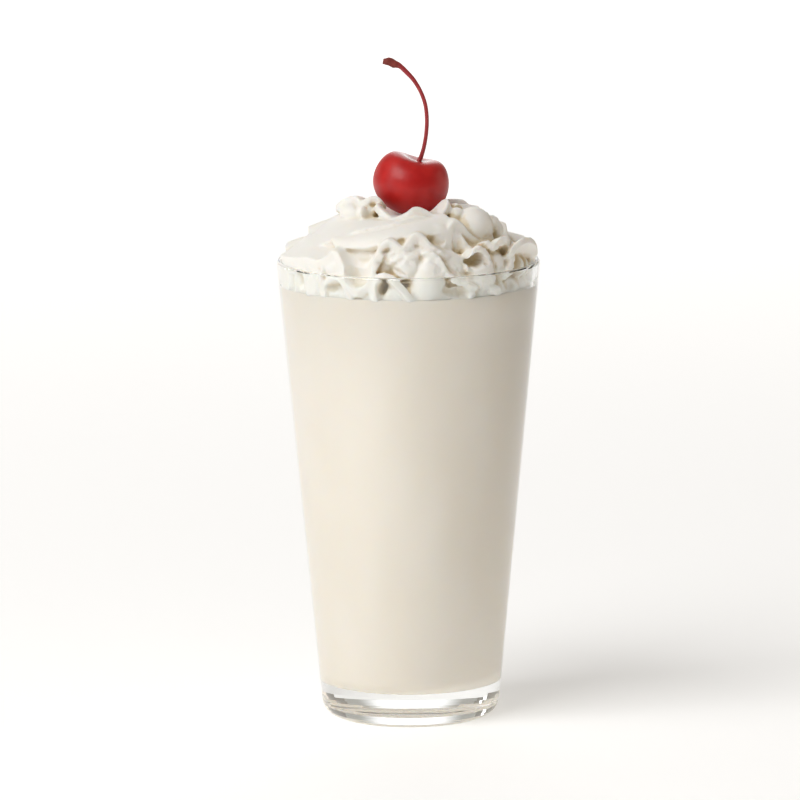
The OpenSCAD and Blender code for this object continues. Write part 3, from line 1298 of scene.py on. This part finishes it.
    def _keep_in_glass(self, piece: bpy.types.Object) -> None:
        """Presses what would pass the glass's wall flat against it.

        Args:
            piece: The mound.
        """
        points = points_of(piece) / MM
        well = self.well
        inside = well.wall(np.minimum(points[:, 2], well.rim)) + well.reach
        free = smooth_step(points[:, 2], well.rim + self.overlap, well.rim + self.over_rim)
        most = inside + (well.rim_r - self.inset - inside) * free
        set_radius(points, np.minimum(round_axis(points)[1], most))
        points[:, 2] = np.maximum(points[:, 2], well.level - self.overlap)
        move_points(piece, points * MM)

    def _dress(self, piece: bpy.types.Object, bubbly: np.ndarray) -> None:
        """Stores how rough and how hidden each point is, and roughens the bubbly ones.

        Args:
            piece: The finished mound.
            bubbly: Places of coarse foam in metres, one row each.
        """
        points = points_of(piece)
        normals = np.empty(len(points) * 3, dtype=np.float32)
        piece.data.vertices.foreach_get("normal", normals)
        normals = normals.reshape(-1, 3).astype(float)
        # the hidden share is painted into the cream's colour as shade in its creases and dents
        carry(piece, "hidden", self._hidden(piece, points, normals))
        near = KDTree(len(bubbly))
        for index, point in enumerate(bubbly):
            near.insert(point, index)
        near.balance()
        away = np.array([near.find(point)[2] for point in points]) / MM
        rough = 1 - smooth_step(away, *self.foam_edge)
        carry(piece, "rough", rough)
        fine = np.array([noise.noise(Vector(p / (self.foam_grain * MM))) for p in points])
        slow = np.array([noise.noise(Vector(p / (self.swell_width * MM))) for p in points])
        points += normals * ((self.foam * rough * fine + self.swell * slow) * MM)[:, None]
        move_points(piece, points)

    def _hidden(self, piece: bpy.types.Object, points: np.ndarray, normals: np.ndarray) -> np.ndarray:
        """Tells how much of the room each point can't see, which the cream's material paints into its
        colour as shade in its creases.

        Args:
            piece: The finished mound.
            points: Its points in metres.
            normals: Its normals.

        Returns:
            The points' shares, from 0 in the open to 1.
        """
        tree = BVHTree.FromPolygons(
            [Vector(p) for p in points], [tuple(f.vertices) for f in piece.data.polygons])
        chance = np.random.default_rng(5)
        rays = chance.normal(size=(self.rays, 3))
        rays /= np.linalg.norm(rays, axis=1)[:, None]
        reach = self.reach * MM
        lift = 0.15 * MM
        hidden = np.zeros(len(points))
        for index, (point, normal) in enumerate(zip(points, normals)):
            start = Vector(point + normal * lift)
            for ray in rays:
                way = ray if ray @ normal > 0 else -ray
                distance = tree.ray_cast(start, Vector(way), reach)[3]
                if distance is not None:
                    hidden[index] += 1 - distance / reach
        hidden /= len(rays)
        azimuth, radius = round_axis(points / MM)
        for hollow in self.hollows():
            share = hollow.shade(azimuth, radius, points[:, 2] / MM - self.well.level)
            hidden = np.maximum(hidden, self.dent_shade * share)
        return hidden


# ------------------------------------------------------------------ the cherry


@dataclass
class Cherry:
    """The cherry, in the place that the frame gives it."""

    lean: float = 13.0
    dimple: float = 3.0
    dimple_width: float = 24.0
    half_height: float = 10.8
    crown_lift: float = 0.8
    left_lift: float = 0.9
    right_lift: float = 0.8
    wet_from: float = 30.0
    wet_to: float = 52.0

    def build(self) -> bpy.types.Object:
        """Models the cherry's body: a ball with a dimple and two uneven shoulders.

        Returns:
            The cherry's body.
        """
        low, high = (np.array(corner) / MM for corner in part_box("cherry"))
        middle = (low + high) / 2
        pick_nothing()
        bpy.ops.mesh.primitive_uv_sphere_add(segments=96, ring_count=64, radius=1.0)
        piece = bpy.context.object
        unit = points_of(piece)
        phi = np.degrees(np.arccos(np.clip(unit[:, 2], -1, 1)))
        azimuth = np.arctan2(unit[:, 1], unit[:, 0])
        half_width = (high[1] - low[1]) / 2
        points = unit * np.array([half_width, half_width, self.half_height])
        groove = self.dimple * np.exp(-(phi / self.dimple_width) ** 2)
        upper = np.sin(np.radians(np.minimum(2 * phi, 180))) ** 2
        shoulders = self.crown_lift * (np.cos(azimuth) ** 2 - 0.5) * upper
        left = self.left_lift * smooth_step(-unit[:, 0], -0.2, 0.9) * smooth_step(unit[:, 2], -0.3, 0.8)
        right = self.right_lift * smooth_step(unit[:, 0], 0.1, 0.8) * smooth_step(unit[:, 2], -0.3, 0.7)
        points[:, 2] += shoulders + left + right - groove
        carry(piece, "wet", 1 - smooth_step(phi, self.wet_from, self.wet_to))
        lean = math.radians(self.lean)
        x, z = points[:, 0].copy(), points[:, 2].copy()
        points[:, 0] = x * math.cos(lean) + z * math.sin(lean)
        points[:, 2] = -x * math.sin(lean) + z * math.cos(lean)
        centre = np.array([middle[0], middle[1], low[2] + self.half_height])
        move_points(piece, (points + centre) * MM)
        return piece


@dataclass
class Stem:
    """The cherry's stem, bent over and ending in a torn knob."""

    sides: int = 20
    rings: int = 120
    radius: float = 0.68
    knob: float = 1.35
    ragged: float = 0.22
    foot_flare: float = 0.3
    neck_flare: float = 0.25
    torn_span: tuple[float, float] = (-3.5, -2.0)
    torn_above: float = 215.0
    route: tuple[tuple[float, float], ...] = (
        (3.6, 191.0), (4.7, 193.4), (5.7, 197.0), (6.4, 201.5), (6.6, 206.0), (6.1, 210.8), (4.6, 215.2),
        (2.2, 219.3), (-0.6, 222.4), (-2.6, 224.2), (-5.0, 225.2), (-8.2, 225.9))

    def build(self) -> bpy.types.Object:
        """Models the stem by drawing a ring along its route.

        Returns:
            The stem.
        """
        wire = np.array([(x, 0.0, z) for x, z in self.route])
        path = through(wire, self.rings)
        way = np.gradient(path, axis=0)
        way /= np.linalg.norm(way, axis=1)[:, None]
        share = np.linspace(0.0, 1.0, self.rings)
        radius = self.radius * (
            1 + self.foot_flare * np.exp(-20 * share) + self.neck_flare * smooth_step(share, 0.6, 0.85))
        knob = smooth_step(share, 0.84, 0.92)
        radius = radius * (1 - knob) + self.knob * knob * (1 - 0.35 * smooth_step(share, 0.95, 1.0))
        rows = []
        turn = np.linspace(0.0, 2 * math.pi, self.sides + 1)
        depth = np.array([0.0, 1.0, 0.0])
        for index in range(self.rings):
            side = np.array([way[index][2], 0.0, -way[index][0]])
            frayed = np.sin(3 * turn + 54 * share[index]) * np.cos(2 * turn)
            ring = radius[index] * (1 + knob[index] * self.ragged * frayed)
            rows.append(path[index] + ring[:, None] * (
                np.cos(turn)[:, None] * side + np.sin(turn)[:, None] * depth))
        rows = [np.repeat(rows[0].mean(axis=0)[None], self.sides + 1, axis=0)] + rows
        rows += [np.repeat(rows[-1].mean(axis=0)[None], self.sides + 1, axis=0)]
        piece = sheet_of("stem", np.array(rows))
        close_sheet(piece, 0.01)
        points = points_of(piece)
        along = np.interp(points[:, 0] / MM, self.torn_span, (1.0, 0.0))
        along *= points[:, 2] > self.torn_above * MM
        carry(piece, "torn", along)
        return piece


# ------------------------------------------------------------------ the studio


@dataclass(frozen=True)
class Softbox:
    """A rectangular light that points at its target, in metres and watts."""

    name: str
    place: Place
    target: Place
    size: tuple[float, float]
    power: float
    colour: Colour = (1.0, 1.0, 1.0)

    def hang(self) -> None:
        """Adds the light to the room."""
        bpy.ops.object.light_add(type="AREA", location=self.place)
        lamp = bpy.context.object
        lamp.name = self.name
        lamp.data.shape = "RECTANGLE"
        lamp.data.size, lamp.data.size_y = self.size
        lamp.data.energy = self.power
        lamp.data.color = self.colour
        way = Vector(self.target) - Vector(self.place)
        lamp.rotation_euler = way.to_track_quat("-Z", "Y").to_euler()


@dataclass
class Studio:
    """A white floor, a bright screen behind, soft lights mainly at the left, and the camera."""

    camera_at: tuple[float, float, float] = (-0.0031, -2.7237, 0.5726)
    pitch: float = 9.658
    roll: float = -0.335
    lens: float = 363.55
    sensor: float = 36.0
    floor_width: float = 12.0
    screen_width: float = 5.0
    screen_at: Place = (0.0, 3.4, 2.5)
    lamps: tuple[Softbox, ...] = (
        Softbox("key", (-0.92, -0.86, 1.50), (0, 0, 0.12), (1.3, 1.3), 24.5),
        Softbox("side", (-1.83, -0.81, 0.40), (0, 0, 0.15), (0.5, 1.1), 3.4),
        Softbox("edge", (-1.75, 1.75, 0.55), (0, 0, 0.1), (0.16, 0.9), 1.6),
        Softbox("fill", (1.60, 0.42, 0.55), (0, 0, 0.1), (0.9, 1.1), 2.3, (1.0, 0.88, 0.74)))
    room_tint: tuple[float, float, float, float] = (1.0, 0.915, 0.80, 1.0)
    room_light: float = 0.22

    def build(self) -> None:
        """Builds the floor, the lights, the world and the camera."""
        self._plane("floor", PaleFloor().material(), self.floor_width)
        screen = self._plane("screen", BrightScreen().material(), self.screen_width)
        upright = Matrix.Rotation(math.pi / 2, 4, "X")
        screen.data.transform(Matrix.Translation(self.screen_at) @ upright)
        for lamp in self.lamps:
            lamp.hang()
        self._world()
        self._camera()

    def _plane(self, name: str, material: bpy.types.Material, size: float) -> bpy.types.Object:
        """Lays a square sheet of the room at the origin.

        Args:
            name: The sheet's name.
            material: Its finish.
            size: Its width.

        Returns:
            The sheet.
        """
        pick_nothing()
        bpy.ops.mesh.primitive_plane_add(size=size)
        sheet = bpy.context.object
        sheet.name = name
        sheet.data.materials.append(material)
        return sheet

    def _world(self) -> None:
        """Fills the room with an even pale light."""
        world = bpy.data.worlds.new("room")
        world.use_nodes = True
        background = world.node_tree.nodes["Background"]
        background.inputs["Color"].default_value = self.room_tint
        background.inputs["Strength"].default_value = self.room_light
        bpy.context.scene.world = world

    def _camera(self) -> None:
        """Sets up the camera and shows colours as they are."""
        data = bpy.data.cameras.new("camera")
        data.lens = self.lens
        data.sensor_width = self.sensor
        camera = bpy.data.objects.new("camera", data)
        bpy.context.collection.objects.link(camera)
        pitch = Matrix.Rotation(math.radians(90 - self.pitch), 4, "X")
        roll = Matrix.Rotation(math.radians(self.roll), 4, "Z")
        camera.matrix_world = Matrix.Translation(self.camera_at) @ pitch @ roll
        bpy.context.scene.camera = camera
        bpy.context.scene.view_settings.view_transform = "Standard"
        bpy.context.scene.view_settings.look = "None"


def dress_glass() -> None:
    """Gives the glass's own solid its finish."""
    glass = bpy.data.objects["glass"]
    glass.data.materials.clear()
    glass.data.materials.append(ClearGlass().material())


def main() -> None:
    """Builds the milkshake and the room round it."""
    logging.basicConfig(level=logging.INFO, format="%(message)s")
    well = Well()
    dress_glass()
    finish_piece(Drink(well).build(), "vanilla_shake", "milkshake", Shake().material())
    finish_piece(Cream(well).build(), "piped_cream", "whipped_cream", WhippedCream().material())
    finish_piece(Cherry().build(), "cherry_body", "cherry", CherrySkin().material())
    finish_piece(Stem().build(), "bent_stem", "cherry_stem", StemSkin().material())
    Studio().build()


if __name__ == "__main__":
    main()
